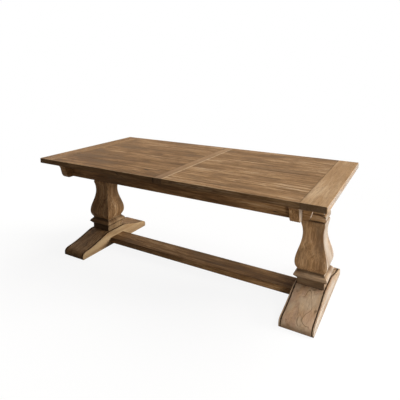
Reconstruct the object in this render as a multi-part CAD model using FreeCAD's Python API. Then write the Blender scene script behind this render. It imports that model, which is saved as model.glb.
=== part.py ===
import FreeCAD, Part
import os

# Extending dining table: a split board top on a fixed base of two square vase pedestals.
# X runs along the table, Y across it, Z up. The origin is on the floor under the middle.
# All sizes are millimetres.

V = FreeCAD.Vector

# Whole table
top_length = 2000.0
top_width = 1000.0
table_height = 770.0
top_thickness = 34.0

# Clearances
run_gap = 0.3
split_gap = 0.4
hole_gap = 0.05
loose_hole_gap = 0.4
overrun = 20.0
tolerance = 0.01

# Boards of the top
end_board_width = 132.0
crossband_width = 58.0
tongue_length = 14.0
tongue_thickness = 11.0
tongue_haunch = 24.0
groove_bottom_gap = 0.4
plank_bevel = 1.2
top_edge_radius = 3.0
top_corner_radius = 9.0
left_seam_shares = (0.0, 0.18, 0.335, 0.49, 0.655, 0.82, 1.0)
right_seam_shares = (0.0, 0.165, 0.34, 0.505, 0.66, 0.835, 1.0)

# Dowels that line up the two halves and the leaf
dowel_radius = 5.0
dowel_projection = 12.0
dowel_depth = 20.0
dowel_place_shares = (-0.375, -0.125, 0.125, 0.375)

# Folding leaf, stored between the rails
leaf_length = 500.0
leaf_insert_room = 8.0
leaf_fold_gap = 0.5
leaf_batten_gap = 8.0
leaf_side_room = 37.7
hinge_length = 60.0
hinge_flap_width = 26.0
hinge_flap_thickness = 2.0
hinge_barrel_radius = 4.0
hinge_pin_radius = 2.0
hinge_knuckle_gap = 0.2
hinge_knuckle_count = 3
hinge_place_shares = (-0.34, 0.0, 0.34)
hinge_screw_place_share = 0.3
hinge_screw_inset_share = 0.62

# Long rails and cross bearers, half lapped
rail_thickness = 32.0
rail_height = 100.0
rail_end_setback = 88.0
rail_ogee_depth = 32.0
rail_ogee_height = 62.0
bearer_thickness = 52.0
bearer_end_setback = 36.0
bearer_offset = 12.0
bearer_ogee_depth = 48.0
bearer_ogee_height = 88.0
bearer_housing_depth = 12.0
ogee_shares = ((0.0, 1.0), (0.62, 0.86), (0.28, 0.28), (1.0, 0.0))
arris_radius = 2.0

# Grooved slides on the rails and tongued runners under the halves
slide_thickness = 30.0
slide_groove_depth = 12.0
slide_tongue_height = 20.0
slide_tongue_drop = 36.0
runner_thickness = 30.0
runner_height = 60.0
runner_split_setback = 10.0
runner_stop_gap = 0.5
batten_width = 60.0
batten_thickness = 30.0

# Cleats that carry the stored leaf
cleat_width = 70.0
cleat_thickness = 18.0
cleat_inset = 2.0
cleat_place_share = 0.32

# Pedestals
pedestal_end_setback = 161.0
foot_width = 192.0
foot_length = 748.0
foot_height = 112.0
foot_seat_length = 168.0
foot_nose_height = 54.0
foot_nose_length = 38.0
foot_toe_height = 22.0
foot_toe_chamfer = 5.0
foot_slope_shares = ((0.18, 0.0), (0.45, 0.70))
foot_nose_shares = ((0.62, 0.15), (1.0, 0.38))
foot_groove_inset = 8.0
foot_groove_width = 5.0
foot_groove_depth = 4.0
block_height = 93.0
block_width = 201.0
plinth_height = 39.0
plinth_width = 160.0
block_curve_shares = (
    (1.0, 0.40), (0.985, 0.49), (0.96, 0.585), (0.92, 0.68),
    (0.876, 0.764), (0.832, 0.84), (0.797, 0.91), (0.772, 1.0))
shaft_belly_width = 190.0
shaft_curve_shares = (
    (0.813, 0.0), (0.850, 0.025), (0.922, 0.065), (0.977, 0.113), (1.0, 0.184),
    (0.945, 0.306), (0.840, 0.419), (0.744, 0.516), (0.663, 0.629), (0.634, 0.726),
    (0.645, 0.806), (0.684, 0.881), (0.735, 0.948), (0.725, 0.979), (0.665, 1.0))
capital_quirk_width = 110.0
capital_quirk_height = 6.0
capital_roll_width = 144.0
capital_roll_height = 40.0
capital_roll_curve_shares = ((0.30, 0.0), (0.86, 0.12), (1.0, 0.45), (0.90, 0.80), (0.35, 1.0))
capital_head_width = 116.0
capital_head_height = 86.7

# Stretcher
stretcher_width = 150.0
stretcher_thickness = 40.0
stretcher_clear_height = 20.0
stretcher_arris = 3.0
tenon_length = 50.0
tenon_width = 110.0
tenon_thickness = 20.0
tenon_end_gap = 1.0
peg_radius = 6.0
peg_length = 62.0
peg_floor_gap = 3.0
peg_place_share = 0.28

# Threaded tie rods down through the pedestals
rod_radius = 6.0
rod_nut_flats = 19.0
rod_nut_height = 10.0
nut_sides = 6
rod_washer_radius = 14.0
rod_washer_thickness = 2.5
rod_sink_radius = 17.0
rod_sink_depth = 30.0
rod_end_past_nut = 4.0

# Screws: head radius, head height, shank radius, length
frame_screw = (5.0, 3.0, 2.5, 45.0)
top_screw = (4.5, 3.0, 2.25, 36.0)
lock_screw = (3.2, 1.5, 1.6, 16.0)
hinge_screw = (2.4, 1.2, 1.3, 14.0)
screw_tip_share = 0.25
screw_tip_room = 1.0
lap_screw_sink = 22.0
slide_screw_sink = 4.0
cleat_screw_sink = 5.0
top_screw_sink = 12.0
slide_screw_place_shares = (-0.92, -0.52, 0.0, 0.52, 0.92)
runner_screw_place_shares = (0.16, 0.52, 0.88)
batten_screw_margin = 15.0

# Swivel locks under the split
lock_rail_room = 10.0
lock_plate_length = 46.0
lock_plate_width = 28.0
lock_plate_thickness = 2.5
lock_pivot_setback = 22.0
lock_reach = 40.0
lock_stud_radius = 4.0
lock_stud_head_radius = 7.0
lock_stud_head_height = 2.0
lock_arm_thickness = 3.0
lock_arm_width = 17.0
lock_arm_end = 10.0
lock_pin_gap = 0.4
keeper_length = 34.0
keeper_pin_tail = 4.0
lock_screw_place_share = 0.36
lock_screw_side_share = 0.25

# Levels and lines worked out from the sizes above
half_length = top_length / 2
half_width = top_width / 2
slab_bottom = table_height - top_thickness
slab_middle = table_height - top_thickness / 2
frame_top = slab_bottom - run_gap
frame_bottom = frame_top - rail_height
leaf_edge = half_width / 2
runner_inner = leaf_edge + leaf_side_room
runner_outer = runner_inner + runner_thickness
slide_inner = runner_outer + run_gap
rail_inner = slide_inner + slide_thickness
rail_outer = rail_inner + rail_thickness
rail_end = half_length - rail_end_setback
pedestal_x = half_length - pedestal_end_setback
bearer_x = pedestal_x - bearer_offset
bearer_inner = bearer_x - bearer_thickness / 2
bearer_outer = bearer_x + bearer_thickness / 2
bearer_end = half_width - bearer_end_setback
lap_level = (frame_top + frame_bottom) / 2
cleat_bottom = frame_bottom + cleat_inset
cleat_top = cleat_bottom + cleat_thickness
runner_bottom = slab_bottom - runner_height
travel = (leaf_length + dowel_projection + leaf_insert_room) / 2
runner_end = bearer_inner - travel - runner_stop_gap
tongue_level = slab_bottom - slide_tongue_drop
batten_start = leaf_length / 2 + dowel_projection + leaf_batten_gap
batten_end = batten_start + batten_width
batten_bottom = slab_bottom - batten_thickness
split_face = split_gap / 2
crossband_end = split_face + crossband_width
end_board_start = half_length - end_board_width
foot_inner = pedestal_x - foot_width / 2
foot_outer = pedestal_x + foot_width / 2
block_top = foot_height + block_height
capital_top = frame_bottom + bearer_housing_depth
shaft_top = capital_top - capital_head_height - capital_roll_height - capital_quirk_height
shaft_height = shaft_top - block_top
fold_level = cleat_top + top_thickness + leaf_fold_gap / 2
plate_bottom = slab_bottom - lock_plate_thickness
arm_top = plate_bottom - run_gap
arm_bottom = arm_top - lock_arm_thickness
lock_line = rail_outer + lock_rail_room + lock_reach + lock_arm_end
cleat_middle = cleat_place_share * leaf_length


def box(x0, x1, y0, y1, z0, z1):
    """Block between two corners."""
    return Part.makeBox(x1 - x0, y1 - y0, z1 - z0, V(x0, y0, z0))


def line(start, end):
    return Part.LineSegment(start, end).toShape()


def bezier(poles):
    curve = Part.BezierCurve()
    curve.setPoles(poles)
    return curve.toShape()


def spline(points):
    curve = Part.BSplineCurve()
    curve.interpolate(points)
    return curve.toShape()


def prism(edges, direction):
    """Closed flat outline pushed along a direction."""
    return Part.Face(Part.Wire(edges)).extrude(direction)


def mirror_x(shape):
    return shape.mirror(V(0, 0, 0), V(1, 0, 0))


def mirror_y(shape):
    return shape.mirror(V(0, 0, 0), V(0, 1, 0))


def without(shape, tools):
    """Cut a list of tools out of a shape."""
    return shape.cut(Part.Compound(tools))


def joined(shapes):
    """Fuse shapes into one solid."""
    return shapes[0].multiFuse(shapes[1:]).removeSplitter()


def rounded(shape, radius, chosen):
    """Fillet the edges whose bounding box the test picks."""
    edges = [edge for edge in shape.Edges if chosen(edge.BoundBox)]
    return shape.makeFillet(radius, edges)


def save(node, shapes):
    """Write one node, a solid or a set of equal ones."""
    shape = shapes if not isinstance(shapes, list) else Part.Compound(shapes)
    print(node, len(shape.Solids), "valid" if shape.isValid() else "INVALID", round(shape.Volume))
    shape.exportStep("parts/" + node + ".step")


# Screws


def aimed(shape, point, direction):
    """Turn a shape made along +Z to a direction and move it to a point."""
    placed = shape.copy()
    placed.Placement = FreeCAD.Placement(point, FreeCAD.Rotation(V(0, 0, 1), direction))
    return placed


def screw(size, point, direction):
    """Flat headed screw whose head seats on the point and whose shank runs along the direction."""
    head_radius, head_height, shank_radius, length = size
    tip = length * screw_tip_share
    head = Part.makeCylinder(head_radius, head_height, V(0, 0, -head_height))
    shank = Part.makeCylinder(shank_radius, length - tip)
    cone = Part.makeCone(shank_radius, shank_radius * screw_tip_share, tip, V(0, 0, length - tip))
    return aimed(joined([head, shank, cone]), point, direction)


def screw_hole(size, point, direction, sink):
    """Pilot hole for a screw with its head sunk below the surface."""
    head_radius, head_height, shank_radius, length = size
    head = Part.makeCylinder(head_radius + hole_gap, sink + overrun, V(0, 0, -sink - overrun))
    shank = Part.makeCylinder(shank_radius + hole_gap, length + screw_tip_room)
    return aimed(joined([head, shank]), point, direction)


# Boards of the top


def tongue(x0, x1, y0, y1):
    """Tongue between two x places, held back from the table's edges."""
    limit = half_width - tongue_haunch
    z0 = slab_middle - tongue_thickness / 2
    return box(x0, x1, max(y0, -limit), min(y1, limit), z0, z0 + tongue_thickness)


def groove(x0, x1):
    return tongue(x0, x1, -half_width, half_width)


def plank_section(y0, y1, x):
    """Edges of a plank's section: bevelled at its seams, rounded at the table's edge."""
    corners = []
    for y, inward in ((y0, 1), (y1, -1)):
        at_edge = abs(abs(y) - half_width) < tolerance
        corners.append((y, inward, at_edge))
    edges = []
    top_points = []
    bottom_points = []
    for y, inward, at_edge in corners:
        ease = top_edge_radius if at_edge else plank_bevel
        for z, down, points in ((table_height, -1, top_points), (slab_bottom, 1, bottom_points)):
            on_side = V(x, y, z + down * ease)
            on_face = V(x, y + inward * ease, z)
            if at_edge:
                turn = ease * (1 - 0.5 ** 0.5)
                middle = V(x, y + inward * turn, z + down * turn)
                edges.append(Part.Arc(on_side, middle, on_face).toShape())
            else:
                edges.append(line(on_side, on_face))
            points.append(on_face)
        edges.append(line(V(x, y, slab_bottom + ease), V(x, y, table_height - ease)))
    edges.append(line(top_points[0], top_points[1]))
    edges.append(line(bottom_points[0], bottom_points[1]))
    return Part.__sortEdges__(edges)


def plank(x0, x1, y0, y1, tongue_left, tongue_right):
    body = prism(plank_section(y0, y1, x0), V(x1 - x0, 0, 0))
    if tongue_left:
        body = joined([body, tongue(x0 - tongue_length, x0, y0, y1)])
    if tongue_right:
        body = joined([body, tongue(x1, x1 + tongue_length, y0, y1)])
    return body


def end_board():
    """Right hand board across the grain, grooved for the plank tongues."""
    board = box(end_board_start, half_length, -half_width, half_width, slab_bottom, table_height)
    at_end = half_length - tolerance
    board = rounded(board, top_corner_radius, lambda b: b.ZLength > tolerance and b.XMin > at_end)
    inner = end_board_start + tolerance
    board = rounded(board, top_edge_radius, lambda b: b.ZLength < tolerance and b.XMax > inner)
    reach = end_board_start + tongue_length + groove_bottom_gap
    return board.cut(groove(end_board_start - overrun, reach))


def crossband():
    """Narrow board across the inner end of the right half."""
    section = plank_section(-half_width, half_width, split_face)
    board = prism(section, V(crossband_width, 0, 0))
    reach = crossband_end - tongue_length - groove_bottom_gap
    return board.cut(groove(reach, crossband_end + overrun))


def dowel_places():
    return [share * top_width for share in dowel_place_shares]


def dowel(x0, x1, y, z):
    return Part.makeCylinder(dowel_radius, x1 - x0, V(x0, y, z), V(1, 0, 0))


def dowel_hole(x0, x1, y, z, gap):
    return Part.makeCylinder(dowel_radius + gap, x1 - x0, V(x0, y, z), V(1, 0, 0))


def split_dowels():
    return [dowel(split_face - split_gap - dowel_projection, split_face + dowel_depth, y, slab_middle)
            for y in dowel_places()]


def split_dowel_sockets():
    reach = split_face + dowel_depth + groove_bottom_gap
    return [dowel_hole(-overrun, reach, y, slab_middle, hole_gap) for y in dowel_places()]


def split_dowel_loose_holes():
    reach = split_face + dowel_projection + split_gap + loose_hole_gap
    return [dowel_hole(-reach, overrun, y, slab_middle, loose_hole_gap) for y in dowel_places()]


# Runners and battens under the halves, written for the right half


def runner_front():
    """Tongued runner under the front of the right half."""
    body = box(runner_split_setback, runner_end, -runner_outer, -runner_inner, runner_bottom, slab_bottom)
    reach = slide_inner + slide_groove_depth - run_gap
    half_tongue = slide_tongue_height / 2 - run_gap
    key = box(runner_split_setback, runner_end, -reach, -runner_outer,
              tongue_level - half_tongue, tongue_level + half_tongue)
    return joined([body, key])


def runner_screw_points():
    span = runner_end - runner_split_setback
    middle = (runner_outer + runner_inner) / 2
    seat = slab_bottom - batten_thickness + top_screw_sink
    return [V(runner_split_setback + share * span, side * middle, seat)
            for side in (-1, 1) for share in runner_screw_place_shares]


def batten():
    return box(batten_start, batten_end, -runner_inner, runner_inner, batten_bottom, slab_bottom)


def batten_screw_points(seam_shares):
    """One screw at the middle of each plank, kept on the batten."""
    points = []
    reach = runner_inner - batten_screw_margin
    for low, high in zip(seam_shares, seam_shares[1:]):
        y = (low + high - 1) * half_width
        y = max(-reach, min(reach, y))
        points.append(V((batten_start + batten_end) / 2, y, batten_bottom + top_screw_sink))
    return points


# Locks, written for the pair under the left half and the keepers under the right half


def lock_plate(side):
    """Plate with its pivot stud, side -1 at the front and 1 at the rear."""
    y = side * lock_line
    x_middle = -lock_pivot_setback
    x0 = x_middle - lock_plate_length / 2 - lock_stud_radius / 2
    plate = box(x0, x0 + lock_plate_length, y - lock_plate_width / 2, y + lock_plate_width / 2,
                plate_bottom, slab_bottom)
    stud_end = arm_bottom - run_gap
    stud = Part.makeCylinder(lock_stud_radius, plate_bottom - stud_end, V(x_middle, y, stud_end))
    head = Part.makeCylinder(lock_stud_head_radius, lock_stud_head_height,
                             V(x_middle, y, stud_end - lock_stud_head_height))
    return joined([plate, stud, head])


def lock_screw_points(side):
    y = side * lock_line
    x_middle = -lock_pivot_setback - lock_stud_radius / 2
    along = lock_plate_length * lock_screw_place_share
    across = side * lock_plate_width * lock_screw_side_share
    seat = plate_bottom + lock_screw[1]
    return [V(x_middle + turn * along, y + turn * across, seat) for turn in (-1, 1)]


def keeper(side):
    """Plate on the right half with the pin that the hook holds."""
    y = side * lock_line
    x_pin = lock_reach - lock_pivot_setback
    plate = box(x_pin - keeper_length / 2, x_pin + keeper_length / 2,
                y - lock_plate_width / 2, y + lock_plate_width / 2, plate_bottom, slab_bottom)
    tail = arm_bottom - keeper_pin_tail / 2
    pin = Part.makeCylinder(lock_stud_radius, plate_bottom - tail, V(x_pin, y, tail))
    return joined([plate, pin])


def keeper_screw_points(side):
    y = side * lock_line
    x_pin = lock_reach - lock_pivot_setback
    along = keeper_length * lock_screw_place_share
    across = side * lock_plate_width * lock_screw_side_share
    seat = plate_bottom + lock_screw[1]
    return [V(x_pin + turn * along, y + turn * across, seat) for turn in (-1, 1)]


def lock_arm(side):
    """Hooked arm, made pointing along X and turned to its released place along Y."""
    half = lock_arm_width / 2
    bar = box(0, lock_reach + lock_arm_end, -half, half, arm_bottom, arm_top)
    eye = Part.makeCylinder(half, lock_arm_thickness, V(0, 0, arm_bottom))
    arm = joined([bar, eye])
    level = arm_bottom - overrun
    tall = lock_arm_thickness + 2 * overrun
    pin_room = lock_stud_radius + lock_pin_gap
    ring = Part.makeCylinder(lock_reach + pin_room, tall, V(0, 0, level))
    ring = ring.cut(Part.makeCylinder(lock_reach - pin_room, tall, V(0, 0, level)))
    ring = ring.common(box(0, lock_reach + overrun, -lock_reach, 0, level, level + tall))
    seat = Part.makeCylinder(pin_room, tall, V(lock_reach, 0, level))
    bore = Part.makeCylinder(lock_stud_radius + hole_gap, tall, V(0, 0, level))
    arm = without(arm, [ring, seat, bore])
    arm.rotate(V(0, 0, 0), V(0, 0, 1), 90)
    if side > 0:
        arm = mirror_y(arm)
    arm.translate(V(-lock_pivot_setback, side * lock_line, 0))
    return arm


# Frame of the base


def ogee(outer, inner, level_top, level_bottom, place):
    """S curve from the outer end at the top to the inner end at the bottom."""
    poles = []
    for inward, height in ogee_shares:
        along = outer + (inner - outer) * inward
        level = level_bottom + (level_top - level_bottom) * height
        poles.append(place(along, level))
    return bezier(poles)


def shaped_beam(end, ogee_depth, ogee_height, place, direction):
    """Beam of the rail height with an ogee cut at both ends."""
    shoulder = frame_bottom + ogee_height
    flat_end = end - ogee_depth
    edges = [line(place(-end, frame_top), place(end, frame_top))]
    for sign in (1, -1):
        edges.append(line(place(sign * end, frame_top), place(sign * end, shoulder)))
        edges.append(ogee(sign * end, sign * flat_end, shoulder, frame_bottom, place))
    edges.append(line(place(-flat_end, frame_bottom), place(flat_end, frame_bottom)))
    return prism(Part.__sortEdges__(edges), direction)


def rail_front():
    def place(along, level):
        return V(along, -rail_outer, level)
    rail = shaped_beam(rail_end, rail_ogee_depth, rail_ogee_height, place, V(0, rail_thickness, 0))
    low = frame_bottom + tolerance
    rail = rounded(rail, arris_radius, lambda b: b.XLength > rail_end and b.ZMax < low)
    laps = [box(sign * bearer_x - bearer_thickness / 2, sign * bearer_x + bearer_thickness / 2,
                -rail_outer - overrun, -rail_inner + overrun, lap_level, frame_top + overrun)
            for sign in (-1, 1)]
    return without(rail, laps)


def bearer_right():
    def place(along, level):
        return V(bearer_inner, along, level)
    beam = shaped_beam(bearer_end, bearer_ogee_depth, bearer_ogee_height, place, V(bearer_thickness, 0, 0))
    laps = []
    for sign in (-1, 1):
        y0 = min(sign * rail_inner, sign * rail_outer)
        laps.append(box(bearer_inner - overrun, bearer_outer + overrun, y0, y0 + rail_thickness,
                        frame_bottom - overrun, lap_level))
    return without(beam, laps)


def slide_front():
    """Grooved slide on the inside of the front rail, between the bearers."""
    body = box(-bearer_inner, bearer_inner, -rail_inner, -slide_inner, cleat_top, frame_top)
    channel = box(-bearer_inner - overrun, bearer_inner + overrun,
                  -slide_inner - slide_groove_depth, -slide_inner + overrun,
                  tongue_level - slide_tongue_height / 2, tongue_level + slide_tongue_height / 2)
    return body.cut(channel)


def cleat_right():
    return box(cleat_middle - cleat_width / 2, cleat_middle + cleat_width / 2,
               -rail_inner, rail_inner, cleat_bottom, cleat_top)


def frame_screw_places():
    """Seat, direction and sink of each screw of the frame."""
    places = []
    slide_screw_level = (cleat_top + runner_bottom) / 2
    for side in (-1, 1):
        lap_middle = side * (rail_inner + rail_thickness / 2)
        slide_middle = side * (slide_inner + slide_thickness / 2)
        for sign in (-1, 1):
            lap_seat = V(sign * bearer_x, lap_middle, frame_top - lap_screw_sink)
            places.append((lap_seat, V(0, 0, -1), lap_screw_sink))
            cleat_seat = V(sign * cleat_middle, slide_middle, cleat_bottom + cleat_screw_sink)
            places.append((cleat_seat, V(0, 0, 1), cleat_screw_sink))
        for share in slide_screw_place_shares:
            seat = V(share * bearer_inner, side * (slide_inner + slide_screw_sink), slide_screw_level)
            places.append((seat, V(0, side, 0), slide_screw_sink))
    return places


# Pedestals, written for the right one


def mitred_block(right_side, half_reach):
    """Block whose section is square at every height, from its right side's edges in the XZ plane."""
    left_side = [mirror_x(edge) for edge in right_side]
    ends = [right_side[0].Vertexes[0].Point, right_side[-1].Vertexes[-1].Point]
    caps = [line(end, V(-end.x, 0, end.z)) for end in ends]
    outline = Part.__sortEdges__(right_side + left_side + caps)
    slab = prism(outline, V(0, 2 * half_reach, 0))
    slab.translate(V(0, -half_reach, 0))
    turned = slab.copy()
    turned.rotate(V(0, 0, 0), V(0, 0, 1), 90)
    return slab.common(turned)


def side_points(curve_shares, half_size, level, height):
    return [V(half_size * out, 0, level + height * up) for out, up in curve_shares]


def rod_hole(z0, z1):
    return Part.makeCylinder(rod_radius + hole_gap, z1 - z0, V(bearer_x, 0, z0))


def base_block():
    """Plinth with a moulding above, undercut below its arris."""
    half_plinth = plinth_width / 2
    plinth_top = foot_height + plinth_height
    curve = side_points(block_curve_shares, block_width / 2, plinth_top, block_height - plinth_height)
    edges = [line(V(half_plinth, 0, foot_height), V(half_plinth, 0, plinth_top)),
             line(V(half_plinth, 0, plinth_top), curve[0]),
             spline(curve)]
    block = mitred_block(edges, block_width)
    block.translate(V(pedestal_x, 0, 0))
    return block.cut(rod_hole(foot_height - overrun, block_top + overrun))


def shaft():
    """Vase shaped shaft, square in section."""
    curve = side_points(shaft_curve_shares, shaft_belly_width / 2, block_top, shaft_height)
    block = mitred_block([spline(curve)], shaft_belly_width)
    block.translate(V(pedestal_x, 0, 0))
    return block.cut(rod_hole(block_top - overrun, shaft_top + overrun))


def capital():
    """Roll moulding and head block, housed for the bearer."""
    half_quirk = capital_quirk_width / 2
    half_head = capital_head_width / 2
    roll_bottom = shaft_top + capital_quirk_height
    roll_top = roll_bottom + capital_roll_height
    swell = capital_roll_width / 2 - half_quirk
    roll = [V(half_quirk + swell * out, 0, roll_bottom + capital_roll_height * up)
            for out, up in capital_roll_curve_shares]
    edges = [line(V(half_quirk, 0, shaft_top), V(half_quirk, 0, roll_bottom)),
             line(V(half_quirk, 0, roll_bottom), roll[0]),
             spline(roll),
             line(roll[-1], V(half_head, 0, roll_top)),
             line(V(half_head, 0, roll_top), V(half_head, 0, capital_top))]
    block = mitred_block(edges, capital_roll_width)
    block.translate(V(pedestal_x, 0, 0))
    housing = box(bearer_inner, bearer_outer, -capital_head_width, capital_head_width,
                  frame_bottom, capital_top + overrun)
    return without(block, [housing, rod_hole(shaft_top - overrun, capital_top + overrun)])


def foot_outline(x, inset):
    """Edges of the foot's side: flat sole, blunt toes, sloping top and flat seat, drawn in by the inset."""
    half = foot_length / 2 - inset
    seat = foot_seat_length / 2
    nose = half - foot_nose_length
    seat_level = foot_height - inset
    nose_level = foot_nose_height - inset
    edges = [line(V(x, -seat, seat_level), V(x, seat, seat_level)),
             line(V(x, -half + foot_toe_chamfer, 0), V(x, half - foot_toe_chamfer, 0))]
    for sign in (-1, 1):
        slope = [V(x, sign * seat, seat_level)]
        for along, down in foot_slope_shares:
            slope.append(V(x, sign * (seat + (nose - seat) * along),
                           seat_level - (seat_level - nose_level) * down))
        slope.append(V(x, sign * nose, nose_level))
        edges.append(bezier(slope))
        toe = [V(x, sign * nose, nose_level)]
        for along, down in foot_nose_shares:
            toe.append(V(x, sign * (nose + foot_nose_length * along),
                         nose_level - (nose_level - foot_toe_height) * down))
        toe.append(V(x, sign * half, foot_toe_height))
        edges.append(bezier(toe))
        edges.append(line(V(x, sign * half, foot_toe_height), V(x, sign * half, foot_toe_chamfer)))
        edges.append(line(V(x, sign * half, foot_toe_chamfer), V(x, sign * (half - foot_toe_chamfer), 0)))
    return Part.__sortEdges__(edges)


def foot_groove(x):
    """Cutter for the groove that follows the foot's top line and runs down over its nose."""
    core = prism(foot_outline(x, foot_groove_depth), V(foot_groove_width, 0, 0))
    above = box(x, x + foot_groove_width, -foot_length, foot_length,
                foot_toe_chamfer, foot_height + overrun)
    return above.cut(core)


def peg_points():
    x = foot_inner + tenon_length / 2
    return [V(x, side * stretcher_width * peg_place_share, peg_floor_gap) for side in (-1, 1)]


def rod_sinks():
    """Recesses for the nuts under the foot and in the bearer."""
    low = Part.makeCylinder(rod_sink_radius, rod_sink_depth + overrun, V(bearer_x, 0, -overrun))
    high = Part.makeCylinder(rod_sink_radius, rod_sink_depth + overrun,
                             V(bearer_x, 0, frame_top - rod_sink_depth))
    return low, high


def tenon(length, gap):
    """Right hand tenon of the stretcher, or its mortise with a gap."""
    middle = stretcher_clear_height + stretcher_thickness / 2
    return box(foot_inner - gap, foot_inner + length, -tenon_width / 2, tenon_width / 2,
               middle - tenon_thickness / 2, middle + tenon_thickness / 2)


def foot():
    body = prism(foot_outline(foot_inner, 0), V(foot_width, 0, 0))
    grooves = [foot_groove(foot_inner + foot_groove_inset),
               foot_groove(foot_outer - foot_groove_inset - foot_groove_width)]
    peg_reach = peg_floor_gap + peg_length + overrun
    pegs = [Part.makeCylinder(peg_radius + hole_gap, peg_reach, V(p.x, p.y, -overrun))
            for p in peg_points()]
    mortise = tenon(tenon_length + tenon_end_gap, overrun)
    low, high = rod_sinks()
    rod = rod_hole(-overrun, foot_height + overrun)
    return without(body, grooves + pegs + [mortise, low, rod])


def stretcher():
    beam = box(-foot_inner, foot_inner, -stretcher_width / 2, stretcher_width / 2,
               stretcher_clear_height, stretcher_clear_height + stretcher_thickness)
    beam = rounded(beam, stretcher_arris, lambda b: b.XLength > foot_inner)
    right = tenon(tenon_length, 0)
    body = joined([beam, right, mirror_x(right)])
    holes = [Part.makeCylinder(peg_radius + hole_gap, foot_height, V(sign * p.x, p.y, 0))
             for sign in (-1, 1) for p in peg_points()]
    return without(body, holes)


def tie_rod():
    low = rod_sink_depth - rod_washer_thickness - rod_nut_height - rod_end_past_nut
    high = frame_top - low
    return Part.makeCylinder(rod_radius, high - low, V(bearer_x, 0, low))


def washers():
    ring = Part.makeCylinder(rod_washer_radius, rod_washer_thickness, V(bearer_x, 0, 0))
    ring = ring.cut(rod_hole(-overrun, overrun))
    low = ring.translated(V(0, 0, rod_sink_depth - rod_washer_thickness))
    high = ring.translated(V(0, 0, frame_top - rod_sink_depth))
    return [low, high]


def nuts():
    corner = V(rod_nut_flats / 3 ** 0.5, 0, 0)
    turns = [360 * side / nut_sides for side in range(nut_sides + 1)]
    points = [FreeCAD.Rotation(V(0, 0, 1), turn).multVec(corner) for turn in turns]
    nut = Part.Face(Part.makePolygon(points)).extrude(V(0, 0, rod_nut_height))
    nut.translate(V(bearer_x, 0, 0))
    nut = nut.cut(rod_hole(-overrun, overrun))
    low = nut.translated(V(0, 0, rod_sink_depth - rod_washer_thickness - rod_nut_height))
    high = nut.translated(V(0, 0, frame_top - rod_sink_depth + rod_washer_thickness))
    return [low, high]


# Stored leaf: two panels folded with their undersides together


def hinge_middles():
    return [share * leaf_length for share in hinge_place_shares]


def hinge_knuckle(x0, x1):
    outer = Part.makeCylinder(hinge_barrel_radius, x1 - x0, V(x0, leaf_edge, fold_level), V(1, 0, 0))
    bore = Part.makeCylinder(hinge_pin_radius + hole_gap, x1 - x0, V(x0, leaf_edge, fold_level), V(1, 0, 0))
    return outer, bore


def hinge_flap(middle, lift):
    """Flap of one hinge, lift -1 on the lower panel and 1 on the upper one."""
    near = fold_level + lift * leaf_fold_gap / 2
    far = near + lift * hinge_flap_thickness
    return box(middle - hinge_length / 2, middle + hinge_length / 2,
               leaf_edge - hinge_flap_width, leaf_edge, min(near, far), max(near, far))


def knuckle_spans(middle, lift):
    """Ends of the knuckles: the lower plate has the odd ones, the upper plate those between."""
    pitch = hinge_length / hinge_knuckle_count
    start = middle - hinge_length / 2
    if lift > 0:
        return [(start + turn * pitch + hinge_knuckle_gap, start + (turn + 1) * pitch - hinge_knuckle_gap)
                for turn in range(1, hinge_knuckle_count, 2)]
    return [(start + turn * pitch, start + (turn + 1) * pitch) for turn in range(0, hinge_knuckle_count, 2)]


def hinge_plate(middle, lift):
    flap = hinge_flap(middle, lift)
    knuckles = [hinge_knuckle(x0, x1) for x0, x1 in knuckle_spans(middle, lift)]
    other = [hinge_knuckle(x0 - hinge_knuckle_gap, x1 + hinge_knuckle_gap)[0]
             for x0, x1 in knuckle_spans(middle, -lift)]
    flap = without(flap, other)
    body = joined([flap] + [outer for outer, bore in knuckles])
    body = without(body, [bore for outer, bore in knuckles])
    return without(body, [screw_hole(hinge_screw, point, way, hinge_screw[1])
                          for point, way in hinge_screw_places(middle, lift)])


def hinge_screw_places(middle, lift):
    seat = fold_level + lift * (leaf_fold_gap / 2 + hinge_screw[1])
    y = leaf_edge - hinge_flap_width * hinge_screw_inset_share
    offset = hinge_length * hinge_screw_place_share
    return [(V(middle + turn * offset, y, seat), V(0, 0, lift)) for turn in (-1, 1)]


def hinge_pin(middle):
    return Part.makeCylinder(hinge_pin_radius, hinge_length,
                             V(middle - hinge_length / 2, leaf_edge, fold_level), V(1, 0, 0))


def leaf_dowel_places(level):
    """Places of the leaf's dowels, measured from its fold."""
    shares = [share for share in dowel_place_shares if share > 0]
    return [(leaf_edge - share * top_width, level) for share in shares]


def leaf_panel(lift):
    near = fold_level + lift * leaf_fold_gap / 2
    far = near + lift * top_thickness
    middle = (near + far) / 2
    panel = box(-leaf_length / 2, leaf_length / 2, -leaf_edge, leaf_edge, min(near, far), max(near, far))
    panel = rounded(panel, plank_bevel, lambda b: abs(b.ZMin - far) + abs(b.ZMax - far) < tolerance)
    tools = []
    for place in hinge_middles():
        tools.append(hinge_flap(place, lift))
        room = hinge_length / 2 + hinge_knuckle_gap
        tools.append(Part.makeCylinder(hinge_barrel_radius + run_gap, 2 * room,
                                       V(place - room, leaf_edge, fold_level), V(1, 0, 0)))
        tools += [screw_hole(hinge_screw, point, way, hinge_screw[1])
                  for point, way in hinge_screw_places(place, lift)]
    edge = leaf_length / 2
    glued_end = -edge + dowel_depth + groove_bottom_gap
    for y, level in leaf_dowel_places(middle):
        tools.append(dowel_hole(-edge - overrun, glued_end, y, level, hole_gap))
        tools.append(dowel_hole(edge - dowel_projection - loose_hole_gap - split_gap, edge + overrun,
                                y, level, loose_hole_gap))
    return without(panel, tools)


def leaf_dowels():
    edge = -leaf_length / 2
    dowels = []
    for lift in (-1, 1):
        middle = fold_level + lift * (leaf_fold_gap + top_thickness) / 2
        dowels += [dowel(edge - dowel_projection, edge + dowel_depth, y, level)
                   for y, level in leaf_dowel_places(middle)]
    return dowels


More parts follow.
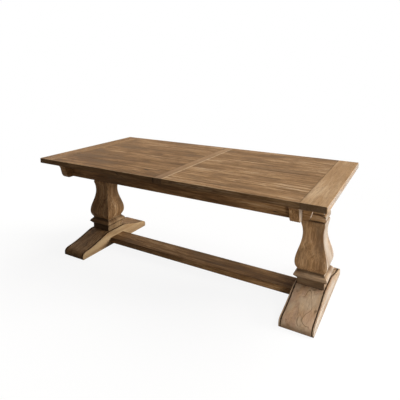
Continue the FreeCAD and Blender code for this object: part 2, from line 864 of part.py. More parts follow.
def build_pedestals():
    pairs = {"foot": foot(), "base_block": base_block(), "shaft": shaft(), "capital": capital()}
    for name, shape in pairs.items():
        save(name + "_right", shape)
        save(name + "_left", mirror_x(shape))
    save("stretcher", stretcher())
    pegs = [Part.makeCylinder(peg_radius, peg_length, V(sign * p.x, p.y, p.z))
            for sign in (-1, 1) for p in peg_points()]
    save("tenon_pegs", pegs)
    rod = tie_rod()
    save("tie_rods", [rod, mirror_x(rod)])
    save("tie_rod_washers", washers() + [mirror_x(ring) for ring in washers()])
    save("tie_rod_nuts", nuts() + [mirror_x(nut) for nut in nuts()])


def build_frame():
    places = frame_screw_places()
    holes = [screw_hole(frame_screw, seat, way, sink) for seat, way, sink in places]
    low, high = rod_sinks()
    rod = rod_hole(frame_bottom - overrun, frame_top + overrun)
    bearer = without(bearer_right(), [high, rod])
    rail = rail_front()
    slide = slide_front()
    cleat = cleat_right()
    save("bearer_right", without(bearer, holes))
    save("bearer_left", without(mirror_x(bearer), holes))
    save("rail_front", without(rail, holes))
    save("rail_rear", without(mirror_y(rail), holes))
    save("slide_front", without(slide, holes))
    save("slide_rear", without(mirror_y(slide), holes))
    save("cleat_right", without(cleat, holes))
    save("cleat_left", without(mirror_x(cleat), holes))
    save("frame_screws", [screw(frame_screw, seat, way) for seat, way, sink in places])


def build_leaf():
    save("leaf_panel_lower", leaf_panel(-1))
    save("leaf_panel_upper", leaf_panel(1))
    save("leaf_hinge_lower_plates", [hinge_plate(middle, -1) for middle in hinge_middles()])
    save("leaf_hinge_upper_plates", [hinge_plate(middle, 1) for middle in hinge_middles()])
    save("leaf_hinge_pins", [hinge_pin(middle) for middle in hinge_middles()])
    places = [place for middle in hinge_middles() for lift in (-1, 1)
              for place in hinge_screw_places(middle, lift)]
    save("leaf_hinge_screws", [screw(hinge_screw, seat, way) for seat, way in places])
    save("leaf_dowels", leaf_dowels())


def build_half(side, seam_shares, fixing_points, fixing_size, plank_start):
    """Boards, runners and batten of one half, side 1 to the right and -1 to the left."""
    name = "right" if side > 0 else "left"
    up = V(0, 0, 1)
    mount_points = [V(side * p.x, p.y, p.z)
                    for p in runner_screw_points() + batten_screw_points(seam_shares)]
    holes = [screw_hole(top_screw, p, up, slab_bottom) for p in mount_points]
    holes += [screw_hole(fixing_size, p, up, fixing_size[1]) for p in fixing_points]
    place = (lambda shape: shape) if side > 0 else mirror_x
    board_holes = list(holes)
    if side < 0:
        board_holes += split_dowel_loose_holes()
    for number, (low, high) in enumerate(zip(seam_shares, seam_shares[1:]), 1):
        y0 = (2 * low - 1) * half_width
        y1 = (2 * high - 1) * half_width
        board = place(plank(plank_start, end_board_start, y0, y1, side > 0, True))
        save(name + "_plank_" + str(number), without(board, board_holes))
    save("end_board_" + name, place(end_board()))
    front = place(runner_front())
    save(name + "_runner_front", without(front, holes))
    save(name + "_runner_rear", without(mirror_y(front), holes))
    save(name + "_batten", without(place(batten()), holes))
    save(name + "_top_screws", [screw(top_screw, p, up) for p in mount_points])


def build_halves():
    lock_points = [p for side in (-1, 1) for p in lock_screw_points(side)]
    keeper_points = [p for side in (-1, 1) for p in keeper_screw_points(side)]
    up = V(0, 0, 1)
    build_half(-1, left_seam_shares, lock_points, lock_screw, split_face)
    build_half(1, right_seam_shares, keeper_points, lock_screw, crossband_end)
    keeper_holes = [screw_hole(lock_screw, p, up, lock_screw[1]) for p in keeper_points]
    lock_holes = [screw_hole(lock_screw, p, up, lock_screw[1]) for p in lock_points]
    save("crossband", without(crossband(), keeper_holes + split_dowel_sockets()))
    save("right_dowels", split_dowels())
    save("right_keepers", [without(keeper(side), keeper_holes) for side in (-1, 1)])
    save("right_keeper_screws", [screw(lock_screw, p, up) for p in keeper_points])
    save("left_lock_plates", [without(lock_plate(side), lock_holes) for side in (-1, 1)])
    save("left_lock_screws", [screw(lock_screw, p, up) for p in lock_points])
    save("lock_arm_front", lock_arm(-1))
    save("lock_arm_rear", lock_arm(1))


os.makedirs("parts", exist_ok=True)
build_pedestals()
build_frame()
build_leaf()
build_halves()
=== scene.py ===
import math
from types import SimpleNamespace

import bpy
import numpy as np
from mathutils import Matrix, Vector


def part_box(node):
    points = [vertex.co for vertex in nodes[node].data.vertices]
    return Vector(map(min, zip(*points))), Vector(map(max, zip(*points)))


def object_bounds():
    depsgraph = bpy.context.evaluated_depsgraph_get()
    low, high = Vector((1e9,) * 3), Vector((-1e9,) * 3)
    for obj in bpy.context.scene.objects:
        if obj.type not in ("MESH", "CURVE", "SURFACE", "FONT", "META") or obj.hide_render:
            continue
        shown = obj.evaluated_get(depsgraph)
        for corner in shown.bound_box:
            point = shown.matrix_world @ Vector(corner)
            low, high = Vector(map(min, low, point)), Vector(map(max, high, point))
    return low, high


# Extending dining table of weathered oak: a split board top on two square vase pedestals.
# Metres, X along the table, Y across it to the back, Z up, the floor at zero.

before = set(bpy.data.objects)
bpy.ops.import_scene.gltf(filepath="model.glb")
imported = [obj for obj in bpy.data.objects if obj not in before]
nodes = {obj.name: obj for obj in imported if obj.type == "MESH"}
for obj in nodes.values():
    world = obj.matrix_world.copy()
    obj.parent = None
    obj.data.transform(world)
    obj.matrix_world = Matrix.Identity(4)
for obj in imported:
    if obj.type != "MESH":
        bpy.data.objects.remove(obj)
cad_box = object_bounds()

# Photograph: 400 pixels square, seen from the front right corner a little above the top
image_size = 400.0
sensor_width = 36.0
focal_pixels = 390.229
centre_pixel = (196.5, 122.0)
camera_place = Vector((1.34078, -2.30513, 1.41020))
camera_azimuth = 0.524138
camera_pitch = 0.138008

# Colours of the wood, in linear light
oak_deep = (0.075, 0.036, 0.013, 1.0)
oak_dark = (0.145, 0.074, 0.028, 1.0)
oak_mid = (0.270, 0.150, 0.064, 1.0)
oak_light = (0.390, 0.236, 0.115, 1.0)
oak_pale = (0.550, 0.390, 0.240, 1.0)
oak_grey = (0.225, 0.155, 0.090, 1.0)
knot_brown = (0.065, 0.032, 0.013, 1.0)
# Dark brown of dirt, also used for painted shade in hollows and creases
dirt_and_shade_brown = (0.030, 0.017, 0.008, 1.0)

# Bleached wood: two tints of patches. Then painted light, the pale colours that stand in for the strong
# light on the right sides of the right pedestal and the rails, of the right end board, and of the left
# pedestal
oak_rosy = (0.395, 0.285, 0.215, 1.0)
oak_ashen = (0.475, 0.390, 0.290, 1.0)
painted_lit_side_grey = (0.430, 0.380, 0.325, 1.0)
painted_lit_end_grey = (0.355, 0.325, 0.300, 1.0)
painted_lit_side_tan = (0.480, 0.355, 0.205, 1.0)


# Helpers that add shader nodes


def put(tree, kind, fed=(), **settings):
    """Add a shader node; fed is what goes into its inputs, in order or by name."""
    made = tree.nodes.new("ShaderNode" + kind)
    for name, value in settings.items():
        setattr(made, name, value)
    pairs = fed.items() if isinstance(fed, dict) else enumerate(fed)
    for key, value in pairs:
        socket = made.inputs[key]
        if isinstance(value, bpy.types.NodeSocket):
            tree.links.new(value, socket)
        elif value is not None:
            socket.default_value = value
    return made


def sums(tree, operation, *fed):
    return put(tree, "Math", fed, operation=operation).outputs[0]


def arrows(tree, operation, *fed):
    return put(tree, "VectorMath", fed, operation=operation).outputs[0]


def away_from(tree, value, place):
    """Distance of a coordinate from a place on its axis."""
    return sums(tree, "ABSOLUTE", sums(tree, "SUBTRACT", value, place))


def inverse(tree, mask):
    return sums(tree, "SUBTRACT", 1.0, mask)


def ramp_between(tree, value, low, high, start=0.0, end=1.0):
    """Smooth step from start to end as a value goes from low to high."""
    made = put(tree, "MapRange", (value, low, high, start, end), interpolation_type="SMOOTHSTEP")
    return made.outputs[0]


def mixed(tree, share, first, second):
    """The first colour with a share of the second over it."""
    return put(tree, "Mix", {0: share, 6: first, 7: second}, data_type="RGBA").outputs[2]


def noise(tree, place, scale, detail=3.0, roughness=0.5):
    fed = {"Vector": place, "Scale": scale, "Detail": detail, "Roughness": roughness}
    return put(tree, "TexNoise", fed).outputs[0]


def stretched(tree, place, along, across):
    """Place with its own scale along the grain and across it, for a pattern drawn out along X."""
    return arrows(tree, "MULTIPLY", place, (along, across, across))


def colour_ramp(tree, value, stops):
    made = put(tree, "ValToRGB", (value,))
    ends = made.color_ramp.elements
    while len(ends) < len(stops):
        ends.new(0.5)
    for end, (position, colour) in zip(ends, stops):
        end.position = position
        end.color = colour
    return made.outputs[0]


def new_group(name, inputs, outputs):
    """Node group with named sockets; returns the tree, its input node and its output node."""
    tree = bpy.data.node_groups.new(name, "ShaderNodeTree")
    for label, kind in inputs:
        tree.interface.new_socket(label, in_out="INPUT", socket_type="NodeSocket" + kind)
    for label, kind in outputs:
        tree.interface.new_socket(label, in_out="OUTPUT", socket_type="NodeSocket" + kind)
    return tree, tree.nodes.new("NodeGroupInput"), tree.nodes.new("NodeGroupOutput")


def edge_group():
    """Distance from a box's nearest edge: the middle one of the three distances to its faces."""
    tree, given, result = new_group(
        "edge distance",
        (("Place", "Vector"), ("Low", "Vector"), ("High", "Vector")),
        (("Distance", "Float"),))
    place, low, high = given.outputs["Place"], given.outputs["Low"], given.outputs["High"]
    near = arrows(tree, "ABSOLUTE", arrows(tree, "SUBTRACT", place, low))
    far = arrows(tree, "ABSOLUTE", arrows(tree, "SUBTRACT", high, place))
    least = put(tree, "SeparateXYZ", (arrows(tree, "MINIMUM", near, far),)).outputs
    low_pair = sums(tree, "MINIMUM", least[0], least[1])
    high_pair = sums(tree, "MAXIMUM", least[0], least[1])
    nearest = sums(tree, "MAXIMUM", low_pair, sums(tree, "MINIMUM", high_pair, least[2]))
    tree.links.new(nearest, result.inputs["Distance"])
    return tree


def wood_group():
    """Weathered oak: rings round a log along X, drawn-out streaks, pores, checks and knots."""
    tree, given, result = new_group(
        "weathered oak",
        (("Place", "Vector"), ("Ring", "Float"), ("Tone", "Float"), ("Contrast", "Float"),
         ("Worn", "Float"), ("Dirty", "Float")),
        (("Colour", "Color"), ("Roughness", "Float"), ("Height", "Float")))
    place = given.outputs["Place"]

    # The log's axis wanders slowly, so the rings lean and arch along a board
    slow = stretched(tree, place, 0.9, 2.5)
    wander = put(tree, "TexNoise", {"Vector": slow, "Scale": 1.0, "Detail": 2.0})
    shift = arrows(tree, "SUBTRACT", wander.outputs[1], (0.5, 0.5, 0.5))
    bent = arrows(tree, "MULTIPLY_ADD", shift, (0.0, 0.060, 0.060), place)

    # Knots sit in a fifth of scattered cells and push the rings aside
    spread = arrows(tree, "MULTIPLY", place, (1.5, 2.6, 0.7))
    cells = put(tree, "TexVoronoi", {"Vector": spread, "Scale": 1.0})
    cell_draw = put(tree, "SeparateColor", (cells.outputs[1],)).outputs[0]
    chosen = ramp_between(tree, cell_draw, 0.20, 0.17)
    near_knot = sums(tree, "MULTIPLY", ramp_between(tree, cells.outputs[0], 0.26, 0.0), chosen)
    knot = sums(tree, "MULTIPLY", ramp_between(tree, cells.outputs[0], 0.050, 0.022), chosen)

    # Rings: saw teeth of the distance from the axis, with soft early wood and a sharp end
    across = put(tree, "VectorMath", (stretched(tree, bent, 0.0, 1.0),), operation="LENGTH")
    radius = across.outputs["Value"]
    pushed = sums(tree, "MULTIPLY_ADD", near_knot, 0.030, radius)
    turns = sums(tree, "DIVIDE", pushed, given.outputs["Ring"])
    uneven = noise(tree, stretched(tree, bent, 0.5, 9.0), 1.0, 2.0)
    phase = sums(tree, "FRACT", sums(tree, "MULTIPLY_ADD", uneven, 3.0, turns))
    early = sums(tree, "POWER", phase, 1.7)
    ring = sums(tree, "MULTIPLY", early, ramp_between(tree, phase, 1.0, 0.90))

    # Marks drawn out along the grain, from broad patches to fine pores and long checks
    streak = noise(tree, stretched(tree, bent, 1.7, 42.0), 1.0, 4.0, 0.62)
    fibre = noise(tree, stretched(tree, bent, 6.0, 260.0), 1.0, 3.0, 0.6)
    patch = noise(tree, stretched(tree, place, 2.6, 6.5), 1.0, 3.0, 0.55)
    pores = ramp_between(tree, noise(tree, stretched(tree, bent, 22.0, 620.0), 1.0, 1.0), 0.60, 0.70)
    check_line = away_from(tree, noise(tree, stretched(tree, bent, 0.8, 15.0), 1.0, 1.5), 0.5)
    check_here = ramp_between(tree, noise(tree, stretched(tree, place, 1.9, 4.0), 1.0, 1.0), 0.56, 0.66)
    check = sums(tree, "MULTIPLY", ramp_between(tree, check_line, 0.0065, 0.0015), check_here)

    # One value gathers the tone, the streaks and the rings, and a colour ramp turns it into oak
    contrast = given.outputs["Contrast"]
    value = sums(tree, "ADD", given.outputs["Tone"], 0.5)
    for part, weight in ((streak, 1.60), (fibre, 0.75), (patch, 1.30), (ring, -0.24)):
        centred = sums(tree, "SUBTRACT", part, 0.5 if weight > 0 else 0.3)
        value = sums(tree, "MULTIPLY_ADD", centred, sums(tree, "MULTIPLY", contrast, weight), value)
    colour = colour_ramp(tree, value, (
        (0.0, oak_deep), (0.24, oak_dark), (0.52, oak_mid), (0.78, oak_light), (1.0, oak_pale)))
    greyed = ramp_between(tree, patch, 0.50, 0.30, end=0.35)
    colour = mixed(tree, sums(tree, "MULTIPLY", greyed, contrast), colour, oak_grey)
    stain = noise(tree, stretched(tree, bent, 3.2, 40.0), 1.0, 3.0, 0.6)
    stain = ramp_between(tree, stain, 0.53, 0.70, end=0.45)
    fleck = noise(tree, stretched(tree, bent, 11.0, 105.0), 1.0, 2.0, 0.6)
    fleck = ramp_between(tree, fleck, 0.51, 0.63, end=0.74)
    marks = sums(tree, "MULTIPLY", sums(tree, "MAXIMUM", stain, fleck), contrast)
    colour = mixed(tree, marks, colour, oak_dark)
    colour = mixed(tree, sums(tree, "MULTIPLY", pores, 0.42), colour, oak_deep)
    colour = mixed(tree, sums(tree, "MULTIPLY", near_knot, 0.30), colour, oak_dark)
    colour = mixed(tree, sums(tree, "MULTIPLY", knot, 0.88), colour, knot_brown)
    colour = mixed(tree, sums(tree, "MULTIPLY", check, 0.85), colour, dirt_and_shade_brown)

    # Wear follows the streaks, and dirt with painted shade lies over all
    ragged = ramp_between(tree, sums(tree, "MULTIPLY_ADD", fibre, 0.6, streak), 0.55, 0.95)
    ragged = sums(tree, "MULTIPLY_ADD", ragged, 0.7, 0.3)
    worn = sums(tree, "MULTIPLY", given.outputs["Worn"], ragged)
    colour = mixed(tree, worn, colour, oak_pale)
    colour = mixed(tree, given.outputs["Dirty"], colour, dirt_and_shade_brown)

    roughness = sums(tree, "MULTIPLY_ADD", fibre, 0.20, 0.55)
    roughness = sums(tree, "MULTIPLY_ADD", pores, 0.12, roughness)
    roughness = sums(tree, "MULTIPLY_ADD", given.outputs["Dirty"], 0.20, roughness)
    height = sums(tree, "MULTIPLY", ring, -0.35)
    for part, weight in ((streak, 0.55), (fibre, 0.55), (pores, -0.60), (check, -2.4), (knot, 0.5)):
        height = sums(tree, "MULTIPLY_ADD", part, weight, height)
    tree.links.new(colour, result.inputs["Colour"])
    tree.links.new(roughness, result.inputs["Roughness"])
    tree.links.new(height, result.inputs["Height"])
    return tree


edge_tree = edge_group()
wood_tree = wood_group()


def grouped(tree, group, fed):
    made = tree.nodes.new("ShaderNodeGroup")
    made.node_tree = group
    for key, value in fed.items():
        if isinstance(value, bpy.types.NodeSocket):
            tree.links.new(value, made.inputs[key])
        else:
            made.inputs[key].default_value = value
    return made.outputs


def new_material(name):
    material = bpy.data.materials.new(name)
    material.use_nodes = True
    tree = material.node_tree
    tree.nodes.clear()
    shader = tree.nodes.new("ShaderNodeBsdfPrincipled")
    output = tree.nodes.new("ShaderNodeOutputMaterial")
    tree.links.new(shader.outputs[0], output.inputs[0])
    return material, tree, shader


# Turns that bring the log's axis from X to the way the grain runs
grain_turn = {"x": (0.0, 0.0, 0.0), "y": (0.0, 0.0, -math.pi / 2), "z": (0.0, math.pi / 2, 0.0)}

# Depth of the grain's relief, how much the surface mirrors, and how wide edges are rubbed round
grain_relief = 0.0009
oiled_sheen = 0.12
rubbed_width = 0.003

# Dirt, and painted shade in the hollows: how far it reaches out of seams and hollows, and how dark it is
# there and in the other marks
seam_reach = 0.005
hollow_reach = 0.022
seam_dark = 0.30
hollow_dark = 0.92
groove_dark = 0.95
crack_dark = 0.62
split_dark = 0.95


def softened(tree):
    """Normal rounded over the edges, and a mask that is one at a sharp edge and falls away beside it."""
    rounded = put(tree, "Bevel", {"Radius": rubbed_width}, samples=6).outputs[0]
    flat = put(tree, "NewGeometry").outputs["Normal"]
    turn = put(tree, "VectorMath", (rounded, flat), operation="DOT_PRODUCT").outputs["Value"]
    return rounded, ramp_between(tree, turn, 0.992, 0.86)


def start_oak(node, grain, heart, lean):
    """New oak for a node, with its grain along x, y or z. Heart is where its log's axis passes, and lean
    is how it tilts. Holds what the marks on the wood read, and the masks of wear and of dirt with
    painted shade so far."""
    material, tree, shader = new_material(node.replace("_", " ") + " oak")
    place = put(tree, "TexCoord").outputs["Object"]
    centred = arrows(tree, "SUBTRACT", place, heart)
    turned = put(tree, "Mapping", {"Vector": centred, "Rotation": grain_turn[grain]}).outputs[0]
    leaned = put(tree, "Mapping", {"Vector": turned, "Rotation": (0.0, lean[0], lean[1])}).outputs[0]
    normal = put(tree, "NewGeometry").outputs["Normal"]
    uneven = noise(tree, place, 38.0, 3.0)
    rubbed, arris = softened(tree)
    worn = sums(tree, "MULTIPLY", arris, ramp_between(tree, uneven, 0.40, 0.62, 0.10, 0.60))
    return SimpleNamespace(
        material=material, tree=tree, shader=shader, place=place, grained=leaned,
        spot=put(tree, "SeparateXYZ", (place,)).outputs,
        facing=put(tree, "SeparateXYZ", (normal,)).outputs,
        uneven=uneven, rubbed=rubbed, worn=worn, dirty=0.0)


def faces_along(wood, axis, start=0.0, end=1.0):
    """Goes from start to end on the faces that look the positive way along an axis."""
    return ramp_between(wood.tree, wood.facing[axis], 0.6, 0.9, start, end)


def faces_either_way(wood, axis, start=0.0, end=1.0):
    """Goes from start to end on the faces that look along an axis either way."""
    turned = sums(wood.tree, "ABSOLUTE", wood.facing[axis])
    return ramp_between(wood.tree, turned, 0.6, 0.9, start, end)


def gather(wood, mask):
    """Add dirt and painted shade where the mask is darker than the dirt and shade that are there."""
    wood.dirty = sums(wood.tree, "MAXIMUM", wood.dirty, mask)


def rub(wood, mask):
    """Rub the wood pale where the mask is stronger than the wear that is there."""
    wood.worn = sums(wood.tree, "MAXIMUM", wood.worn, mask)


def ragged_gap(wood, gap, reach):
    """A distance made uneven, so that what follows it has a ragged border."""
    return sums(wood.tree, "MULTIPLY_ADD", wood.uneven, -reach, gap)


def edge_gap(wood, box):
    """Distance from the nearest edge of a box."""
    fed = {"Place": wood.place, "Low": box[0], "High": box[1]}
    return grouped(wood.tree, edge_tree, fed)["Distance"]


def dirt_and_shade_in_hollows(wood):
    """Dirt and painted shade in grooves and inner corners, from how much of the sky the piece hides from
    itself.
    """
    fed = {"Distance": hollow_reach}
    open_sky = put(wood.tree, "AmbientOcclusion", fed, samples=8, only_local=True).outputs["AO"]
    gather(wood, ramp_between(wood.tree, open_sky, 0.86, 0.42, end=hollow_dark))


def dark_groove_smear(wood, x):
    """Dark smear along a groove that runs along y."""
    gap = ragged_gap(wood, away_from(wood.tree, wood.spot["X"], x), 0.004)
    gather(wood, ramp_between(wood.tree, gap, 0.0038, 0.0005, end=groove_dark))


def dirt_and_shade_at_level(wood, level, reach, dark):
    """Painted shade, with some dirt, round a level up to its reach, weaker on the sides that face along
    x, where the light from the right falls.
    """
    tree = wood.tree
    gap = ragged_gap(wood, away_from(tree, wood.spot["Z"], level), 0.3 * reach)
    gathered = ramp_between(tree, gap, reach, 0.0, end=dark)
    gather(wood, sums(tree, "MULTIPLY", gathered, faces_either_way(wood, "X", 1.0, 0.4)))


def curling_cracks(wood):
    """Long curling cracks and a few finer ones, on faces that look up."""
    tree = wood.tree
    curl = noise(tree, stretched(tree, wood.grained, 3.6, 8.5), 1.0, 1.6, 0.45)
    long_crack = ramp_between(tree, away_from(tree, curl, 0.50), 0.011, 0.002)
    long_here = ramp_between(tree, noise(tree, wood.grained, 7.0, 1.0), 0.38, 0.54)
    fine_curl = noise(tree, stretched(tree, wood.grained, 8.0, 24.0), 1.0, 2.0, 0.5)
    fine_crack = ramp_between(tree, away_from(tree, fine_curl, 0.47), 0.022, 0.006)
    fine_here = ramp_between(tree, noise(tree, wood.grained, 13.0, 1.0), 0.47, 0.60, end=0.70)
    cracks = sums(tree, "MAXIMUM", sums(tree, "MULTIPLY", long_crack, long_here),
                  sums(tree, "MULTIPLY", fine_crack, fine_here))
    upward = ramp_between(tree, wood.facing["Z"], 0.3, 0.7, end=crack_dark)
    gather(wood, sums(tree, "MULTIPLY", cracks, upward))


def seams_and_rims(wood, seams, seam_wear, rim_wear):
    """Dirt in the seams round a board, and wear along those of its edges that are the table's own edges.
    Seams is the board's box, and each wear is how pale the edges there are rubbed."""
    tree = wood.tree
    gap = edge_gap(wood, seams)
    halo = ragged_gap(wood, gap, 0.6 * seam_reach)
    halo = ramp_between(tree, halo, seam_reach, 0.0, end=seam_dark)
    line = ramp_between(tree, gap, 0.0016, 0.0007)
    broken = ramp_between(tree, noise(tree, wood.place, 7.0, 2.0), 0.36, 0.60, 0.15, 0.65)
    gather(wood, sums(tree, "MAXIMUM", halo, sums(tree, "MULTIPLY", line, broken)))
    rim = edge_gap(wood, table_box)
    inside = ramp_between(tree, rim, 0.003, 0.006, end=1.0 - seam_wear / 2)
    wood.dirty = sums(tree, "MULTIPLY", wood.dirty, inside)
    wood.worn = sums(tree, "MULTIPLY", wood.worn, seam_wear)
    rub(wood, ramp_between(tree, ragged_gap(wood, rim, 0.008), 0.0015, -0.0030, end=rim_wear))


def dark_long_sides(wood, dark):
    """Dirt over a board's share of the table's front and back faces."""
    half_width = table_box[1][1]
    gap = away_from(wood.tree, sums(wood.tree, "ABSOLUTE", wood.spot["Y"]), half_width)
    gather(wood, ramp_between(wood.tree, gap, 0.0020, 0.0006, end=dark))


def pale_joint_line(wood, x):
    """Pale line along a joint that runs along y, on the top face only, clear of the darker marks."""
    tree = wood.tree
    gap = ragged_gap(wood, away_from(tree, wood.spot["X"], x), 0.002)
    line = ramp_between(tree, gap, 0.0056, 0.0022)
    line = sums(tree, "MULTIPLY", line, faces_along(wood, "Z"))
    rub(wood, line)
    wood.dirty = sums(tree, "MULTIPLY", wood.dirty, inverse(tree, line))


def split_mark(wood, x):
    """Dark line down the front and back faces where the two halves meet."""
    gap = away_from(wood.tree, wood.spot["X"], x)
    line = ramp_between(wood.tree, gap, 0.0080, 0.0035, end=split_dark)
    gather(wood, sums(wood.tree, "MULTIPLY", line, faces_either_way(wood, "Y")))


def bleach(wood, colour, share, painted_lit_share, painted_lit_colour):
    """Wood gone pale in cloudy patches of two tints. Its right side has its own share and colour,
    painted light that stands in for the strong light from the right.
    """
    tree = wood.tree
    cloud = noise(tree, stretched(tree, wood.grained, 4.0, 16.0), 1.0, 3.0)
    cloud = ramp_between(tree, cloud, 0.36, 0.60, start=0.40)
    tint = noise(tree, stretched(tree, wood.grained, 8.0, 18.0), 1.0, 2.0)
    patches = mixed(tree, ramp_between(tree, tint, 0.42, 0.58), oak_rosy, oak_ashen)
    # On the right side the bleached patches give way to the painted lit colour
    weathered = mixed(tree, faces_along(wood, "X"), patches, painted_lit_colour)
    pale = sums(tree, "MULTIPLY", cloud, faces_along(wood, "X", share, painted_lit_share))
    pale = sums(tree, "MULTIPLY", pale, inverse(tree, wood.dirty))
    return mixed(tree, pale, colour, weathered)


def finish_oak(wood, ring, tone, contrast=1.0, bleached=None, painted_lit_colour=painted_lit_end_grey):
    """Join the grain, wear, dirt and painted shade to the shader. Ring is the rings' width, tone
    lightens or darkens, and contrast is how lively the grain is. Bleached and lit is the whole piece's
    bleached share and its right side's share of painted light."""
    tree, shader = wood.tree, wood.shader
    made = grouped(tree, wood_tree, {"Place": wood.grained, "Ring": ring, "Tone": tone,
                                     "Contrast": contrast, "Worn": wood.worn, "Dirty": wood.dirty})
    colour = made["Colour"]
    if bleached:
        share, painted_lit_share = bleached
        colour = bleach(wood, colour, share, painted_lit_share, painted_lit_colour)
    fed = {"Strength": 0.8, "Distance": grain_relief, "Height": made["Height"],
           "Normal": wood.rubbed}
    tree.links.new(colour, shader.inputs["Base Color"])
    tree.links.new(made["Roughness"], shader.inputs["Roughness"])
    tree.links.new(put(tree, "Bump", fed).outputs[0], shader.inputs["Normal"])
    shader.inputs["Specular IOR Level"].default_value = oiled_sheen
    return wood.material


def metal(name, colour, tarnish, low_roughness, high_roughness):
    """Metal with cloudy tarnish and fine scratches that run along Y."""
    material, tree, shader = new_material(name)
    place = put(tree, "TexCoord").outputs["Object"]
    cloud = noise(tree, place, 90.0, 4.0, 0.6)
    scratch = noise(tree, arrows(tree, "MULTIPLY", place, (900.0, 120.0, 900.0)), 1.0, 2.0)
    tint = mixed(tree, ramp_between(tree, cloud, 0.42, 0.62), colour, tarnish)
    rough = sums(tree, "MULTIPLY_ADD", cloud, high_roughness - low_roughness, low_roughness)
    tree.links.new(tint, shader.inputs["Base Color"])
    tree.links.new(rough, shader.inputs["Roughness"])
    bump = put(tree, "Bump", {"Strength": 0.35, "Distance": 0.0003, "Height": scratch})
    tree.links.new(bump.outputs[0], shader.inputs["Normal"])
    shader.inputs["Metallic"].default_value = 1.0
    return material


def dress(node, material):
    """Give a node of the frame its finish."""
    slots = nodes[node].data.materials
    slots.clear()
    slots.append(material)


def sides(node):
    """Lowest and highest corner of a node's box."""
    low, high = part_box(node)
    return tuple(low), tuple(high)


def middle(node):
    """Middle of a node's box."""
    low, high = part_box(node)
    return (low + high) / 2


# Corners of the whole table, the underside of its boards, and the joints of its top along X. The pale
# line lies a little to the right of the crossband's joint
table_box = (tuple(cad_box[0]), tuple(cad_box[1]))
board_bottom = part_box("crossband")[0].z
end_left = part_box("end_board_left")[1].x
end_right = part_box("end_board_right")[0].x
band_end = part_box("crossband")[1].x
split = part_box("left_plank_1")[1].x
pale_line_offset = 0.003
pale_line = band_end + pale_line_offset

# Each board comes from its own log, so each has its own heart, lean and ring width
draw = np.random.default_rng(11)


def log_heart(node, rise, sideways):
    """Where the axis of a board's log passes: up from the board's middle by a rise, down where that is
    negative, sideways towards the back, and at a drawn place along the table."""
    spot = middle(node)
    return (spot.x + draw.uniform(-0.6, 0.6), spot.y + sideways, spot.z + rise)


# Each half: where its planks show, from and to, and their tones from the front to the back
halves = {
    "left": (end_left, split, (-0.165, -0.085, -0.080, -0.050, 0.005, 0.025)),
    "right": (band_end, end_right, (0.120, 0.075, 0.035, 0.050, 0.025, -0.020))}
plank_look = SimpleNamespace(seam_wear=0.25, rim_wear=0.75, side_dark=0.52)
for half, (start, end, tones) in halves.items():
    for number, tone in enumerate(tones, 1):
        node = half + "_plank_" + str(number)
        low, high = sides(node)
        shown = (start, low[1], board_bottom), (end, high[1], table_box[1][2])
        rise = draw.choice((-1, 1)) * draw.uniform(0.03, 0.16)
        heart = log_heart(node, rise, draw.uniform(-0.07, 0.07))
        lean = draw.uniform(-0.03, 0.03), draw.uniform(-0.02, 0.02)
        wood = start_oak(node, "x", heart, lean)
        seams_and_rims(wood, shown, plank_look.seam_wear, plank_look.rim_wear)
        dark_long_sides(wood, plank_look.side_dark)
        if half == "left":
            split_mark(wood, split)
        else:
            pale_joint_line(wood, pale_line)
        dress(node, finish_oak(wood, draw.uniform(0.005, 0.009), tone))

# Boards across the top, left to right. Paler is the two places along Y between which the tone goes up,
# and by how much
# Bleached and lit is a board's bleached share and the share of painted light on its right side
cross_looks = {
    "end_board_left": SimpleNamespace(
        tone=0.000, seam_wear=0.25, rim_wear=0.75, side_dark=0.50, contrast=0.80,
        bleached=None, paler=None),
    "crossband": SimpleNamespace(
        tone=-0.090, seam_wear=0.30, rim_wear=0.75, side_dark=0.66, contrast=0.40,
        bleached=(0.14, 0.14), paler=(-0.45, 0.30, 0.20)),
    "end_board_right": SimpleNamespace(
        tone=0.270, seam_wear=0.25, rim_wear=0.40, side_dark=0.80, contrast=0.30,
        bleached=(0.0, 0.85), paler=(0.10, -0.35, 0.08))}
cross_rise = -0.09
cross_sideways = 0.3
cross_lean = (0.012, 0.004)
cross_ring = 0.007
for node, look in cross_looks.items():
    wood = start_oak(node, "y", log_heart(node, cross_rise, cross_sideways), cross_lean)
    tone = look.tone
    seams_and_rims(wood, sides(node), look.seam_wear, look.rim_wear)
    dark_long_sides(wood, look.side_dark)
    if look.paler:
        from_y, to_y, lift = look.paler
        lifted = ramp_between(wood.tree, wood.spot["Y"], from_y, to_y, end=lift)
        tone = sums(wood.tree, "ADD", lifted, tone)
    if node == "crossband":
        pale_joint_line(wood, pale_line)
        split_mark(wood, split)
    dress(node, finish_oak(wood, cross_ring, tone, look.contrast, look.bleached))

# Frame, pedestals and stretcher: the way the grain runs and the tone of each
timbers = {
    "rail_front": ("x", -0.16), "rail_rear": ("x", -0.16),
    "bearer_left": ("y", -0.10), "bearer_right": ("y", -0.06),
    "slide_front": ("x", 0.0), "slide_rear": ("x", 0.0),
    "left_runner_front": ("x", 0.02), "left_runner_rear": ("x", 0.0),
    "right_runner_front": ("x", -0.02), "right_runner_rear": ("x", 0.03),
    "left_batten": ("y", 0.0), "right_batten": ("y", 0.0),
    "cleat_left": ("y", 0.0), "cleat_right": ("y", 0.0),
    "leaf_panel_lower": ("x", 0.02), "leaf_panel_upper": ("x", 0.02),
    "stretcher": ("x", -0.12),
    "foot_left": ("y", 0.00), "foot_right": ("y", 0.14),
    "base_block_left": ("x", -0.08), "base_block_right": ("x", -0.03),
    "shaft_left": ("z", -0.05), "shaft_right": ("z", -0.02),
    "capital_left": ("x", -0.08), "capital_right": ("x", -0.04),
    "tenon_pegs": ("z", -0.05), "right_dowels": ("x", 0.10), "leaf_dowels": ("x", 0.10)}

